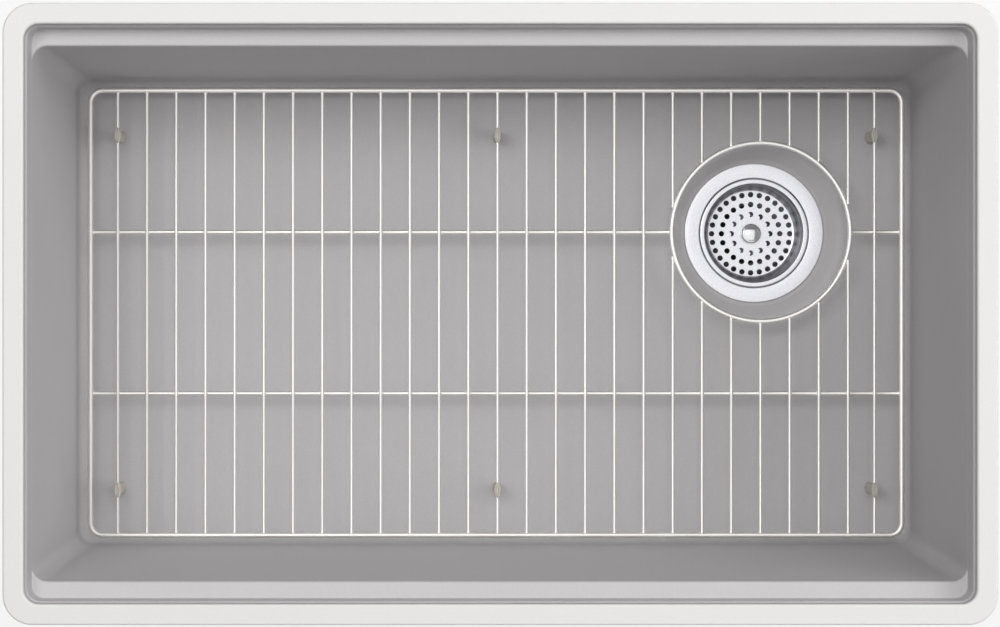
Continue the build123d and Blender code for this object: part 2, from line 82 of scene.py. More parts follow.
camera_data = bpy.data.cameras.new("camera")
camera = bpy.data.objects.new("camera", camera_data)
scene.collection.objects.link(camera)
camera.location = camera_place
camera_data.sensor_width = sensor_width
camera_data.lens = sensor_width * focal_pixels / frame_width_pixels
camera_data.shift_x = centre_to_axis_x / frame_width_pixels
camera_data.shift_y = centre_to_axis_y / frame_width_pixels
camera_data.clip_end = farthest_seen
scene.camera = camera
scene.view_settings.view_transform = "Standard"
print("lens:", round(camera_data.lens, 1), "mm")

# %% [markdown]
# Studio light for a bowl is large and soft. Two panels hang overhead, a little to the
# rear and to the left, and light the floor and the front wall. The one on the right is
# the strongest, and none stands at the front, which leaves the rear wall and the right
# wall of the bowl darker than the others. Mirror images show the white room and only one
# of the panels, which puts a bright line on the wires. The flat steel of the drain would
# be too white with all of them.

# %% Hang the lights
bowl_middle = (0.0, 0.0, -0.1)
lamps = {
    "rear top panel": ((0.0, 0.8, 3.0), 1.4, 24.3, False),
    "left top panel": ((-1.2, 0.6, 3.0), 1.4, 24.5, True),
    "right panel": ((3.0, 0.0, 2.0), 3.2, 50.0, False),
    "corner panel": ((1.9, 1.9, 2.4), 2.5, 22.8, False),
}


def area_light(name, place, target, size, strength, mirrored):
    """A round panel of light at a place, facing a target, with a strength in watts.

    Only a mirrored panel shows in the steel.
    """
    data = bpy.data.lights.new(name, "AREA")
    data.shape = "DISK"
    data.size = size
    data.energy = strength
    lamp = bpy.data.objects.new(name, data)
    scene.collection.objects.link(lamp)
    lamp.location = place
    away = Vector(place) - Vector(target)
    lamp.rotation_euler = away.to_track_quat("Z", "Y").to_euler()
    lamp.visible_glossy = mirrored


for name, (place, size, strength, mirrored) in lamps.items():
    area_light(name, place, bowl_middle, size, strength, mirrored)
print("lamps:", len(lamps))

# %% [markdown]
# A material is a small graph of nodes. One helper adds a node, sets it and wires it, and
# one turns a colour as a painter would write it into the linear numbers that a renderer
# works in. Two kinds of node need a note. A Mix node has sockets for each kind of value,
# so the ones for colours and for numbers get names here. A noise runs from 0 to 1, but
# nearly all of it lies in a narrower span, which is stretched before it is used.

# %% Helpers for materials
mix_share = 0
number_a, number_b = 2, 3
colour_a, colour_b, mixed_colour = 6, 7, 2
noise_span = (0.3, 0.7)


def linear(code):
    """The linear colour of an sRGB hex code such as "A1B2C3"."""
    channels = [int(code[start : start + 2], 16) / 255 for start in (0, 2, 4)]
    lowered = [c / 12.92 if c <= 0.04045 else ((c + 0.055) / 1.055) ** 2.4 for c in channels]
    return (*lowered, 1.0)


def new_material(name, **constants):
    """An empty material, with constants set on the sockets of its surface shader."""
    material = bpy.data.materials.new(name)
    material.use_nodes = True
    sockets = material.node_tree.nodes["Principled BSDF"].inputs
    for key, value in constants.items():
        sockets[key.replace("_", " ")].default_value = value
    return material


def add_node(material, kind, inputs=(), surface=None, output=0, **settings):
    """Adds a node with its settings and links, and returns the output that is used.

    The inputs are values or other nodes' outputs, in the node's own order or by name.
    The name of an input of the surface shader links the output to it.
    """
    tree = material.node_tree
    node = tree.nodes.new(kind)
    for key, value in settings.items():
        setattr(node, key, value)
    for key, value in inputs.items() if isinstance(inputs, dict) else enumerate(inputs):
        if isinstance(value, bpy.types.NodeSocket):
            tree.links.new(value, node.inputs[key])
        else:
            node.inputs[key].default_value = value
    if surface:
        tree.links.new(node.outputs[output], tree.nodes["Principled BSDF"].inputs[surface])
    return node.outputs[output]


def dress(material, *names):
    """Gives a material to measured nodes."""
    for name in names:
        mesh = nodes[name].data
        mesh.materials.clear()
        mesh.materials.append(material)


print("white as a linear colour:", linear("FFFFFF"))

# %% [markdown]
# The sink stands over a plain pale floor in a plain pale room. A ray that ends in the
# camera sees pure white there, as on a product page, and so do the mirror images in the
# steel. Other rays see matte paper and a dimmer room, so the floor keeps the object's
# shadow for the views from the side, and the room's light stays low.

# %% Lay the studio floor and whiten the room
floor_size = 12
white_share = 0.8
white_strength = 1.0
room_strength = 0.2
white = (1, 1, 1, 1)


def seen_directly(owner):
    """One for a ray that a camera, a mirror or a glass sends out, or else zero."""
    rays = add_node(owner, "ShaderNodeLightPath").node.outputs
    two_kinds = [rays["Is Camera Ray"], rays["Is Glossy Ray"]]
    either = add_node(owner, "ShaderNodeMath", two_kinds, operation="MAXIMUM")
    all_kinds = [either, rays["Is Transmission Ray"]]
    return add_node(owner, "ShaderNodeMath", all_kinds, operation="MAXIMUM")


bpy.ops.object.select_all(action="DESELECT")
bpy.ops.mesh.primitive_plane_add(size=floor_size, location=(0, 0, cad_low.z))
floor = bpy.context.object
floor.name = "studio_floor"
floor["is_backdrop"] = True
paper = new_material("white studio paper", Base_Color=linear("F4F4F4"), Roughness=0.9)
paper_factors = [seen_directly(paper), white_share]
seen_share = add_node(paper, "ShaderNodeMath", paper_factors, operation="MULTIPLY")
glow = add_node(paper, "ShaderNodeEmission", {"Color": white, "Strength": white_strength})
matte = paper.node_tree.nodes["Principled BSDF"].outputs[0]
seen = add_node(paper, "ShaderNodeMixShader", [seen_share, matte, glow])
paper_output = paper.node_tree.nodes["Material Output"]
paper.node_tree.links.new(seen, paper_output.inputs["Surface"])
floor.data.materials.append(paper)

world = bpy.data.worlds.new("room")
scene.world = world
world.use_nodes = True
room = world.node_tree.nodes["Background"].inputs
room["Color"].default_value = white
level_inputs = [seen_directly(world), 0, 1, room_strength, white_strength]
room_level = add_node(world, "ShaderNodeMapRange", level_inputs)
world.node_tree.links.new(room_level, room["Strength"])
print("floor:", floor_size, "m, white share:", white_share, "room:", room_strength)

# %% [markdown]
# Granite composite is four fifths quartz grit, bound in acrylic resin and moulded in a
# heated mould. That gives the eye a soft grey matte skin with fine lighter and darker
# grains, no mirror images and a faint sheen. The real grains are 0.3 mm wide, too fine
# for a camera two metres away, and are drawn at 0.8 mm. Under them the tone drifts in
# wide clouds, as the grit settles unevenly in the mould.

# %% Granite composite
grain_width = 0.8 * MM
cloud_width = 70 * MM
grit_height = 0.03 * MM
grain_tones = linear("B9B6B8"), linear("CAC7C9")
cloud_tones = linear("BDBBBC"), linear("C5C3C4")
cloud_share = 0.5
granite_gloss = (0.46, 0.56)

granite = new_material("granite composite, moulded grey")
granite_place = add_node(granite, "ShaderNodeTexCoord", output="Object")
grain_inputs = {"Vector": granite_place, "Scale": 1 / grain_width, "Detail": 2.0}
grain_noise = add_node(granite, "ShaderNodeTexNoise", grain_inputs)
grains = add_node(granite, "ShaderNodeMapRange", [grain_noise, *noise_span, 0, 1])
cloud_inputs = {"Vector": granite_place, "Scale": 1 / cloud_width, "Detail": 2.0}
cloud_noise = add_node(granite, "ShaderNodeTexNoise", cloud_inputs)
clouds = add_node(granite, "ShaderNodeMapRange", [cloud_noise, *noise_span, 0, 1])

tone_inputs = {mix_share: grains, colour_a: grain_tones[0], colour_b: grain_tones[1]}
grain_tone = add_node(
    granite, "ShaderNodeMix", tone_inputs, output=mixed_colour, data_type="RGBA"
)
tone_inputs = {mix_share: clouds, colour_a: cloud_tones[0], colour_b: cloud_tones[1]}
cloud_tone = add_node(
    granite, "ShaderNodeMix", tone_inputs, output=mixed_colour, data_type="RGBA"
)
tone_inputs = {mix_share: cloud_share, colour_a: grain_tone, colour_b: cloud_tone}
moulded_tone = add_node(
    granite, "ShaderNodeMix", tone_inputs, output=mixed_colour, data_type="RGBA"
)
add_node(granite, "ShaderNodeMapRange", [clouds, 0, 1, *granite_gloss], "Roughness")
grit_inputs = {"Height": grains, "Distance": grit_height, "Strength": 1.0}
add_node(granite, "ShaderNodeBump", grit_inputs, "Normal")
print("grains along the bowl's longest side:", round((cad_high - cad_low).x / grain_width))

# %% [markdown]
# The rim's flat top is painted much paler than the moulded grey, as painted light for
# the light it catches. A mask on the height draws that on the highest face only. A
# second mask paints the ledges a little paler, as painted light on them.

# %% Painted light on the rim and the ledges
# Painted light: the rim's top face and the ledges take paler tones than the moulded grey.
painted_light_from = -1.6 * MM
painted_light_to = -0.3 * MM
ledge_height = -25.0 * MM
ledge_light_band = 0.6 * MM
ledge_light_share = 0.35
painted_light_tones = linear("EDECEB"), linear("F3F2F1")

tone_inputs = {mix_share: grains, colour_a: painted_light_tones[0], colour_b: painted_light_tones[1]}
painted_light_tone = add_node(
    granite, "ShaderNodeMix", tone_inputs, output=mixed_colour, data_type="RGBA"
)
# This mask paints the rim's top face in the paler tone, as painted light.
height = add_node(granite, "ShaderNodeSeparateXYZ", [granite_place], output="Z")
painted_light_mask = add_node(granite, "ShaderNodeMapRange", [height, painted_light_from, painted_light_to, 0, 1])
# Painted light on the ledges: a band at their height takes part of the paler tone.
over_ledge = add_node(granite, "ShaderNodeMath", [height, ledge_height], operation="SUBTRACT")
from_ledge = add_node(granite, "ShaderNodeMath", [over_ledge], operation="ABSOLUTE")
ledge_light_inputs = [from_ledge, ledge_light_band / 2, ledge_light_band, ledge_light_share, 0]
ledge_light_mask = add_node(granite, "ShaderNodeMapRange", ledge_light_inputs)
tone_inputs = {mix_share: ledge_light_mask, colour_a: moulded_tone, colour_b: painted_light_tone}
ledge_light_tone = add_node(
    granite, "ShaderNodeMix", tone_inputs, output=mixed_colour, data_type="RGBA"
)
tone_inputs = {mix_share: painted_light_mask, colour_a: ledge_light_tone, colour_b: painted_light_tone}
add_node(
    granite, "ShaderNodeMix", tone_inputs, "Base Color", mixed_colour, data_type="RGBA"
)
dress(granite, "sink_bowl")
print("granite on:", len(nodes["sink_bowl"].data.polygons), "faces")

# %% [markdown]
# The strainer and its basket are pressed from stainless sheet and finished on a lathe,
# so that fine lines run round the drain's centre and light spreads out across them. The
# lines are noise along the distance from that centre. Real ones are 0.1 mm apart, and
# are drawn at 0.5 mm so that they show. The seat, the throat and the basket's steep
# wall get painted shade instead: a dark, duller tone for the deep shade in them, with
# painted streaks of reflection that run round the wall. The throat is masked by its
# height, below the seat's edge, and the wall by its distance from the centre.

# %% Steel sheet
line_width = 0.5 * MM
line_depth = 0.004 * MM
fleck_width = 0.9 * MM
band_width = 4 * MM
band_stretch = 10
turned_tones = linear("DFDFE4"), linear("EBEBF0")
# Painted shade: dark tones, with painted streaks of reflection, for the throat, the seat and
# the basket's wall.
painted_shade_tones = linear("4E4E50"), linear("B0B0B4")
turned_gloss = (0.24, 0.38)
painted_shade_gloss = (0.42, 0.55)
drain_low, drain_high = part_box("strainer_body")
drain = ((drain_low + drain_high) / 2).xy


def sheet_steel(name, measure, edges):
    """Turned steel with painted shade where its reach or height passes each edge.

    An edge is where it starts and where it ends, in millimetres, and the share of painted
    shade at its start and at its end.
    """
    steel = new_material(name, Metallic=1.0)
    whole = add_node(steel, "ShaderNodeTexCoord", output="Object")
    centring = {"Vector": whole, "Location": (*-drain, 0)}
    place = add_node(steel, "ShaderNodeMapping", centring)
    flat = add_node(steel, "ShaderNodeVectorMath", [place, (1, 1, 0)], operation="MULTIPLY")
    reach = add_node(
        steel, "ShaderNodeVectorMath", [flat], output="Value", operation="LENGTH"
    )
    height = add_node(steel, "ShaderNodeSeparateXYZ", [place], output="Z")

    line_inputs = {"W": reach, "Scale": 1 / line_width, "Detail": 1.0}
    lines = add_node(steel, "ShaderNodeTexNoise", line_inputs, noise_dimensions="1D")
    fleck_inputs = {"Vector": place, "Scale": 1 / fleck_width, "Detail": 3.0}
    fleck_noise = add_node(steel, "ShaderNodeTexNoise", fleck_inputs)
    flecks = add_node(steel, "ShaderNodeMapRange", [fleck_noise, *noise_span, 0, 1])
    # Painted streaks of reflection: the noise is stretched so that it changes mainly with the
    # height.
    level = (1 / band_stretch, 1 / band_stretch, 1)
    round_wall = add_node(
        steel, "ShaderNodeVectorMath", [place, level], operation="MULTIPLY"
    )
    band_inputs = {"Vector": round_wall, "Scale": 1 / band_width, "Detail": 2.0}
    band_noise = add_node(steel, "ShaderNodeTexNoise", band_inputs)
    painted_streaks = add_node(steel, "ShaderNodeMapRange", [band_noise, *noise_span, 0, 1])

    # The share of painted shade, set by the edges.
    painted_shade_share = 1.0
    for start, end, start_share, end_share in edges:
        along = {"reach": reach, "height": height}[measure]
        limits = [along, start * MM, end * MM, start_share, end_share]
        passed = add_node(steel, "ShaderNodeMapRange", limits)
        painted_shade_share = add_node(steel, "ShaderNodeMath", [painted_shade_share, passed], operation="MULTIPLY")
    mixes = []
    for share, tones in ((flecks, turned_tones), (painted_streaks, painted_shade_tones)):
        inputs = {mix_share: share, colour_a: tones[0], colour_b: tones[1]}
        mixes.append(
            add_node(steel, "ShaderNodeMix", inputs, output=mixed_colour, data_type="RGBA")
        )
    inputs = {mix_share: painted_shade_share, colour_a: mixes[0], colour_b: mixes[1]}
    add_node(steel, "ShaderNodeMix", inputs, "Base Color", mixed_colour, data_type="RGBA")
    turned = add_node(steel, "ShaderNodeMapRange", [lines, *noise_span, *turned_gloss])
    dull = add_node(steel, "ShaderNodeMapRange", [painted_streaks, 0, 1, *painted_shade_gloss])
    inputs = {mix_share: painted_shade_share, number_a: turned, number_b: dull}
    add_node(steel, "ShaderNodeMix", inputs, "Roughness", data_type="FLOAT")
    line_relief = {"Height": lines, "Distance": line_depth, "Strength": 1.0}
    add_node(steel, "ShaderNodeBump", line_relief, "Normal")
    return steel


# Edges of the painted shade: on the basket's wall, and everywhere below the flange's top.
wall_foot_edge = (36.5, 37.5, 0, 1)
wall_top_edge = (40.7, 41.1, 1, 0)
flange_edge = (drain_high.z / MM - 1.0, drain_high.z / MM - 0.5, 1, 0)
basket_steel = sheet_steel(
    "stainless steel sheet, pressed basket", "reach", [wall_foot_edge, wall_top_edge]
)
strainer_steel = sheet_steel(
    "stainless steel sheet, turned flange and drawn throat", "height", [flange_edge]
)
print("drain in mm:", [round(d / MM, 2) for d in drain])

# %% [markdown]
# The other finishes are simpler. Each has one tone that drifts to a second one in
# patches, its gloss drifts with the patches, and a finer pattern stands on the surface.
# One function holds that, and each material gives it the sizes of its own marks.

# %% Helper for simple finishes


def drifting_finish(name, patch, tones, gloss, relief=None, **constants):
    """A finish that drifts between two tones and two roughnesses.

    A patch is its width and its detail. A relief is a width, a detail and a height.
    """
    material = new_material(name, **constants)
    place = add_node(material, "ShaderNodeTexCoord", output="Object")
    patch_inputs = {"Vector": place, "Scale": 1 / patch[0], "Detail": patch[1]}
    patch_noise = add_node(material, "ShaderNodeTexNoise", patch_inputs)
    patches = add_node(material, "ShaderNodeMapRange", [patch_noise, *noise_span, 0, 1])
    inputs = {mix_share: patches, colour_a: linear(tones[0]), colour_b: linear(tones[1])}
    add_node(
        material, "ShaderNodeMix", inputs, "Base Color", mixed_colour, data_type="RGBA"
    )
    add_node(material, "ShaderNodeMapRange", [patches, 0, 1, *gloss], "Roughness")
    if relief:
        width, detail, height = relief
        mark_inputs = {"Vector": place, "Scale": 1 / width, "Detail": detail}
        mark_noise = add_node(material, "ShaderNodeTexNoise", mark_inputs)
        marks = add_node(material, "ShaderNodeMapRange", [mark_noise, *noise_span, 0, 1])
        inputs = {"Height": marks, "Distance": height, "Strength": 1.0}
        add_node(material, "ShaderNodeBump", inputs, "Normal")
    print(name, "in patches of", round(patch[0] / MM, 1), "mm")
    return material


# %% [markdown]
# The grid is drawn stainless steel wire, welded and then electropolished, which leaves a
# warm white metal that is bright but not a mirror. Fine drawing marks stay on it, a
# little rougher in patches, so that highlights on the wires are broad and soft.

# %% Steel wire
wire_steel = drifting_finish(
    "stainless steel wire, electropolished",
    patch=(25 * MM, 1.0),
    tones=("F6F3EE", "FCFAF7"),
    gloss=(0.44, 0.54),
    relief=(0.6 * MM, 1.0, 0.008 * MM),
    Metallic=1.0,
)

# %% [markdown]
# The knob, its stem and the pipe under the sink are chrome plated. Plating is a mirror,
# and only faint wipe marks break its reflections.

# %% Chrome plate
chrome = drifting_finish(
    "chrome plate, mirror bright",
    patch=(18 * MM, 3.0),
    tones=("E6E7EA", "F0F1F3"),
    gloss=(0.12, 0.22),
    Metallic=1.0,
)
dress(chrome, "stopper_stem", "stopper_nut", "tailpiece", "coupling_nut")

# %% [markdown]
# The stopper's plate lies under the basket's floor and is polished, so that hair doesn't
# cling to it. Through a hole above it, the eye sees the hole itself mirrored in the
# plate: white where the mirrored ray leaves through it, and dark where it doesn't.

# %% Polished plate
polished = drifting_finish(
    "stainless steel plate, polished",
    patch=(9 * MM, 2.0),
    tones=("E2E2E6", "ECECF0"),
    gloss=(0.03, 0.06),
    Metallic=1.0,
)
dress(polished, "stopper_plate")

# %% [markdown]
# The feet are silicone rubber, moulded in a pale warm grey, with a dull skin that lets a
# little light in. The seals are black nitrile rubber, matte with a fine bloom on it.

# %% Rubbers
foot_rubber = drifting_finish(
    "silicone rubber, moulded grey",
    patch=(1.2 * MM, 2.0),
    tones=("BFBBB2", "CCC8BF"),
    gloss=(0.45, 0.6),
    relief=(1.2 * MM, 2.0, 0.02 * MM),
    Subsurface_Weight=0.2,
    Subsurface_Scale=1.5 * MM,
)
black_rubber = drifting_finish(
    "nitrile rubber, moulded black",
    patch=(3 * MM, 3.0),
    tones=("191919", "262626"),
    gloss=(0.5, 0.7),
    relief=(3 * MM, 3.0, 0.03 * MM),
)
dress(black_rubber, "rubber_gasket", "stopper_seal")

# %% [markdown]
# Three plain materials are hidden or seen only from below: white polyethylene for the
# washer, the bush and the flange's seal, pressed fibre board for the friction ring, and
# cast brass for the lock nut, whose skin is dull and slightly pitted from the mould.

# %% Plastic, fibre and brass
polyethylene = drifting_finish(
    "polyethylene, moulded white",
    patch=(8 * MM, 2.0),
    tones=("DEDDD8", "E8E7E3"),
    gloss=(0.35, 0.45),
)
dress(polyethylene, "flange_seal", "tailpiece_washer", "stem_bush")
fibre = drifting_finish(
    "vulcanised fibre board, pressed brown",
    patch=(1.5 * MM, 4.0),
    tones=("6B4A33", "8A6548"),
    gloss=(0.75, 0.9),
    relief=(1.5 * MM, 4.0, 0.05 * MM),
)
dress(fibre, "friction_ring")
brass = drifting_finish(
    "brass, cast and tumbled",
    patch=(2 * MM, 4.0),
    tones=("B99A5B", "CBAF71"),
    gloss=(0.3, 0.5),
    relief=(2 * MM, 4.0, 0.04 * MM),
    Metallic=1.0,
)
dress(brass, "lock_nut")

# %% [markdown]
# New pieces are shaped the way a hand would do it: a primitive is added at its place, its
# mesh is opened, and rings of edges are extruded and resized one after another. Most
# pieces of this sink are turned parts or drawn wires, so two helpers are enough for them.
# Both take lengths in millimetres.

# %% Helpers for modelling
quarter_turn = math.pi / 2
merge_distance = 0.01 * MM


def open_mesh(name):
    """Names the primitive that was just added and opens its mesh, all of it selected."""
    piece = bpy.context.object
    piece.name = name
    bpy.ops.object.mode_set(mode="EDIT")
    return piece


def close_mesh(piece, smooth_angle=40):
    """Merges doubled points, turns the faces outwards and smooths all but sharp edges."""
    bpy.ops.mesh.select_all(action="SELECT")
    bpy.ops.mesh.remove_doubles(threshold=merge_distance)
    bpy.ops.mesh.normals_make_consistent(inside=False)
    bpy.ops.object.mode_set(mode="OBJECT")
    bpy.ops.object.transform_apply(location=True, rotation=True, scale=True)
    bpy.ops.object.shade_smooth_by_angle(angle=math.radians(smooth_angle))
    return piece


def spread(axis_name, factors, middle):
    """Resizes what is selected across an axis, about a middle."""
    across = iter(factors)
    value = [1 if name == axis_name else next(across) for name in "XYZ"]
    bpy.ops.transform.resize(value=value, center_override=middle)


def stretched(name, place, direction, stations, sides, fill="TRIFAN"):
    """A round piece that is extruded from station to station along an axis.

    A station is how far along it lies and its radius, or its two radii where the piece
    is oval. A filled start makes a closed piece.
    """
    bpy.ops.object.select_all(action="DESELECT")
    axis = Vector(direction)
    turns = {"X": (0, quarter_turn, 0), "Y": (quarter_turn, 0, 0), "Z": (0, 0, 0)}
    axis_name = "XYZ"[[abs(a) for a in direction].index(1)]
    start, *radii = stations[0]
    radii = (radii * 2)[:2]
    middle = Vector(place) * MM
    bpy.ops.mesh.primitive_circle_add(
        vertices=sides,
        radius=MM,
        fill_type=fill,
        location=middle + axis * start * MM,
        rotation=turns[axis_name],
    )
    piece = open_mesh(name)
    spread(axis_name, radii, middle)
    for distance, *next_radii in stations[1:]:
        next_radii = (next_radii * 2)[:2]
        step = axis * (distance - start) * MM
        bpy.ops.mesh.extrude_region_move(TRANSFORM_OT_translate={"value": step})
        spread(axis_name, [n / r for n, r in zip(next_radii, radii)], middle)
        start, radii = distance, next_radii
    return close_mesh(piece)


def turned(name, place, profile, sides):
    """A hollow turned piece. Its profile of radii and heights goes round its wall."""
    stations = [(height, radius) for radius, height in [*profile, profile[0]]]
    return stretched(name, (*place, 0), (0, 0, 1), stations, sides, fill="NOTHING")


def rounded(corner, start_angle, end_angle, radius, steps=5):
    """Points of an arc round a corner's centre, as radii and heights."""
    turn = end_angle - start_angle
    angles = [math.radians(start_angle + turn * step / steps) for step in range(steps + 1)]
    across, up = corner
    return [(across + radius * math.cos(a), up + radius * math.sin(a)) for a in angles]


def box_mm(name):
    """The lowest and the highest corner of a measured node, in millimetres."""
    low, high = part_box(name)
    return low / MM, high / MM


def finish_piece(piece, material, body, slot, *replaced):
    """Gives a piece its finish and its body, and hides the measured nodes it stands for. Its
    slot is not used.
    """
    piece.data.materials.clear()
    piece.data.materials.append(material)
    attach(piece, body)
    if replaced:
        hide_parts(*replaced)


print("points closer than", merge_distance / MM, "mm are merged")

# %% [markdown]
# The grid has 27 parallel wires, two cross wires under them, a ring round the drain and a
# frame. Their places could be written down again here, but they are read from the
# measured nodes, so that the wires follow the model if it changes.

# %% Measure the grid
ring_low, ring_high = box_mm("grid_drain_ring")
ring_middle = (ring_low + ring_high) / 2
ring_reach = (ring_high.x - ring_low.x) / 2
bar_names = sorted(name for name in nodes if name.startswith("grid_bar_"))
bar_places = {name: sum(corner.x for corner in box_mm(name)) / 2 for name in bar_names}
cross_names = ("grid_crossbar_front", "grid_crossbar_rear")
cross_places = [sum(corner.y for corner in box_mm(name)) / 2 for name in cross_names]
print("parallel wires:", len(bar_names), "ring in mm:", round(2 * ring_reach, 1))

# %% [markdown]
# The parallel wires are straight lengths, each pressed and welded into the frame at both
# ends and onto the two cross wires. Resistance welding squeezes a little metal out, so
# each wire thickens at its welds. A curve with a round section would have one radius
# all along. An extruded circle takes a new radius at any station, so it is used, and a
# wire that meets the drain's ring ends there instead.

# %% Shape the grid's wires
wire_sides = 16
weld_length = 1.3
weld_fade = 2 * weld_length
weld_swell = 1.12
end_swell = 1.3
end_length = 1.6
end_fade = 1.5 * end_length
end_room = 3 * end_length
set_in = 0.6


def wire(name, place, direction, start, end, radius, welds):
    """A straight wire with a swelling at each end and at each weld along it."""
    wide, welded = end_swell * radius, weld_swell * radius
    stations = [(start, wide), (start + end_length / 2, wide), (start + end_fade, radius)]
    for weld in sorted(welds):
        if start + end_room < weld < end - end_room:
            stations += [(weld - weld_fade, radius), (weld - weld_length, welded)]
            stations += [(weld + weld_length, welded), (weld + weld_fade, radius)]
    stations += [(end - end_fade, radius), (end - end_length / 2, wide), (end, wide)]
    return stretched(name, place, direction, stations, wire_sides)


def stretches_beside_ring(low, high, offset, middle):
    """What the ring leaves of a wire that passes at an offset from the ring's middle."""
    if abs(offset) >= ring_reach:
        return [(low - set_in, high + set_in)]
    chord = math.sqrt(ring_reach**2 - offset**2) - set_in
    return [(low - set_in, middle - chord), (middle + chord, high + set_in)]


def joined(parts, name):
    """Several pieces as one object with one mesh."""
    bpy.ops.object.select_all(action="DESELECT")
    for part in parts:
        part.select_set(True)
    bpy.context.view_layer.objects.active = parts[0]
    if len(parts) > 1:
        bpy.ops.object.join()
    parts[0].name = name
    return parts[0]


for name, place in bar_places.items():
    low, high = box_mm(name)
    radius = (high.x - low.x) / 2
    axis_height = (high.z + low.z) / 2
    offset = place - ring_middle.x
    parts = [
        wire("wire", (place, 0, axis_height), (0, 1, 0), start, end, radius, cross_places)
        for start, end in stretches_beside_ring(low.y, high.y, offset, ring_middle.y)
    ]
    piece = joined(parts, name.replace("grid_bar", "wire"))
    finish_piece(piece, wire_steel, "grid", "grid_wire", name)
for name, place in zip(cross_names, cross_places):
    low, high = box_mm(name)
    radius = (high.y - low.y) / 2
    axis_height = (high.z + low.z) / 2
    offset = place - ring_middle.y
    welds = bar_places.values()
    parts = [
        wire("wire", (0, place, axis_height), (1, 0, 0), start, end, radius, welds)
        for start, end in stretches_beside_ring(low.x, high.x, offset, ring_middle.x)
    ]
    piece = joined(parts, name.replace("grid_crossbar", "cross_wire"))
    finish_piece(piece, wire_steel, "grid", "grid_wire", name)
print("straight wires:", len(bar_names) + len(cross_names))

# %% [markdown]
# The frame is one wire, bent at four corners and butt welded. A plane whose corners are
# bevelled gives its path. Turned into a curve, the path takes a round section, which
# follows the bends more evenly than extruded rings would.

# %% Bend the frame
corner_steps = 10
section_steps = 4
frame_corner = 10
frame_low, frame_high = box_mm("grid_frame")
frame_radius = (frame_high.z - frame_low.z) / 2
frame_middle = (frame_low + frame_high) / 2
path_size = (frame_high - frame_low) * MM - Vector((1, 1, 0)) * 2 * frame_radius * MM
bpy.ops.object.select_all(action="DESELECT")
bpy.ops.mesh.primitive_plane_add(size=1, location=frame_middle * MM)
frame_wire = open_mesh("frame_wire")
bpy.ops.transform.resize(value=(path_size.x, path_size.y, 1))
bpy.ops.mesh.bevel(offset=frame_corner * MM, segments=corner_steps, affect="VERTICES")
bpy.ops.mesh.delete(type="ONLY_FACE")
bpy.ops.object.mode_set(mode="OBJECT")
bpy.ops.object.transform_apply(location=True, rotation=True, scale=True)
bpy.ops.object.convert(target="CURVE")
frame_wire.data.bevel_depth = frame_radius * MM
frame_wire.data.bevel_resolution = section_steps
bpy.ops.object.convert(target="MESH")
frame_wire = open_mesh("frame_wire")
close_mesh(frame_wire)
finish_piece(frame_wire, wire_steel, "grid", "grid_wire", "grid_frame")
print("frame in mm:", [round(s / MM, 1) for s in frame_wire.dimensions])

# %% [markdown]
# The ring round the drain is a wire bent to a circle. A torus is its start. Where the
# two ends of the wire were butted and welded, the section swells and is ground back,
# which a few swollen segments show.

# %% Bend the ring
ring_segments = 144
ring_weld_share = -0.4
ring_weld_swell = 0.15
ring_wire_radius = (ring_high.z - ring_low.z) / 2
ring_radius = ring_reach - ring_wire_radius
ring_weld_place = ring_weld_share * ring_radius * MM
bpy.ops.object.select_all(action="DESELECT")
bpy.ops.mesh.primitive_torus_add(
    location=ring_middle * MM,
    major_segments=ring_segments,
    minor_segments=wire_sides,
    major_radius=ring_radius * MM,
    minor_radius=ring_wire_radius * MM,
)
ring = open_mesh("drain_ring")
bpy.ops.mesh.select_all(action="DESELECT")
bpy.ops.object.mode_set(mode="OBJECT")
for point in ring.data.vertices:
    near_weld = abs(point.co.y - ring_weld_place) < weld_length * MM
    point.select = point.co.x > 0 and near_weld
print("points at the ring's weld:", sum(point.select for point in ring.data.vertices))
bpy.ops.object.mode_set(mode="EDIT")
bpy.ops.transform.shrink_fatten(value=ring_weld_swell * MM)
close_mesh(ring)
finish_piece(ring, wire_steel, "grid", "grid_wire", "grid_drain_ring")

# %% [markdown]
# Each foot is a soft oval plug with a small flare at the floor. Its head is slit, and is
# pressed over a wire so that the wire snaps into a round channel. A small oval pocket in
# the head is the mark of the mould's pin. The outline is an extruded oval, listed below
# as heights with the oval's two radii. The channel, the slit and the pocket are cut with
# a cylinder, a box and an oval, as the parts of the mould make them.

# %% Mould the first foot
foot_names = sorted(name for name in nodes if "foot" in name)
foot_sides = 40
foot_low, foot_high = box_mm(foot_names[0])
foot_middle = (foot_low + foot_high) / 2
foot_height = foot_high.z - foot_low.z
foot_stations = [
    (0.0, 3.3, 4.6),
    (0.35, 3.6, 4.9),
    (1.7, 3.6, 4.9),
    (2.3, 3.4, 4.75),
    (3.6, 3.15, 4.6),
    (5.4, 3.0, 4.5),
    (16.0, 2.95, 4.5),
    (22.0, 2.85, 4.9),
    (25.5, 2.78, 5.8),
    (27.5, 2.75, 6.2),
    (foot_height - 0.9, 2.75, 6.2),
    (foot_height - 0.35, 2.6, 6.0),
    (foot_height, 2.1, 5.4),
]
cutter_sides = 24
channel_radius = 1.3
channel_reach = 10
slit_width = 0.3
slit_height = 10
pocket_radii = (1.2, 2.2)
pocket_depth = 0.9
pocket_overcut = 2
wire_height = sum(corner.z for corner in box_mm(bar_names[0])) / 2


def cut_with(piece, cutter):
    """Cuts a piece with a closed cutter, and removes the cutter."""
    bpy.ops.object.select_all(action="DESELECT")
    bpy.context.view_layer.objects.active = piece
    piece.select_set(True)
    cut = piece.modifiers.new("cut", "BOOLEAN")
    cut.operation = "DIFFERENCE"
    cut.solver = "EXACT"
    cut.object = cutter
    bpy.ops.object.modifier_apply(modifier=cut.name)
    bpy.data.objects.remove(cutter)


